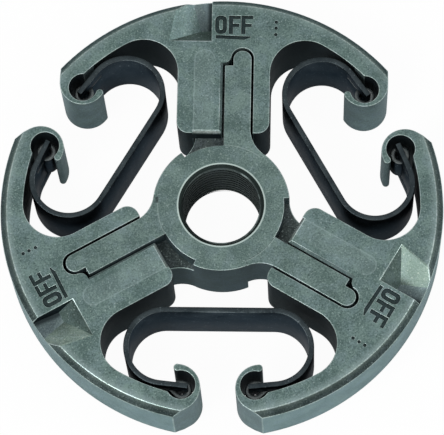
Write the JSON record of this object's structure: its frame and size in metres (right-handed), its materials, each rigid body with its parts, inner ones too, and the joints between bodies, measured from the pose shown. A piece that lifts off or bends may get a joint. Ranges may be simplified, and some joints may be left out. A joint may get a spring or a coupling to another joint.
{
  "type": "centrifugal clutch",
  "caption": "Centrifugal clutch: friction shoes slide outwards on the stepped arms of a threaded hub, drawn back by C-shaped flat springs hooked into their ends.",
  "frame": {"origin": "on the axis of the bore, at the hub's back face, on which the clutch lies", "axes": "+Z along the axis of the bore towards the marked face; +Y along the middle of shoe_1, the upper shoe in the picture"},
  "size_m": [0.063, 0.0623, 0.0108],
  "materials": {
    "hub_steel": "sintered steel, greenish grey, fine speckle, satin",
    "shoe_steel": "sintered steel, greenish grey, fine speckle, satin",
    "spring_steel": "dark blued spring steel, satin"
  },
  "bodies": {
    "hub": {"hub": "hub_steel", "spring_1": "spring_steel", "spring_2": "spring_steel", "spring_3": "spring_steel"},
    "shoe_1": {"shoe_1": "shoe_steel"},
    "shoe_2": {"shoe_2": "shoe_steel"},
    "shoe_3": {"shoe_3": "shoe_steel"}
  },
  "joints": [
    {"name": "shoe_1_slide", "type": "slide", "parent": "hub", "child": "shoe_1", "axis": [0, 1, 0], "range_m": [0, 0.0012], "stiffness_N_per_m": 64200, "deforming": ["spring_1", "spring_3"]},
    {"name": "shoe_2_slide", "type": "slide", "parent": "hub", "child": "shoe_2", "axis": [-0.866, -0.5, 0], "range_m": [0, 0.0012], "stiffness_N_per_m": 64200, "deforming": ["spring_1", "spring_2"]},
    {"name": "shoe_3_slide", "type": "slide", "parent": "hub", "child": "shoe_3", "axis": [0.866, -0.5, 0], "range_m": [0, 0.0012], "stiffness_N_per_m": 64200, "deforming": ["spring_2", "spring_3"]}
  ]
}
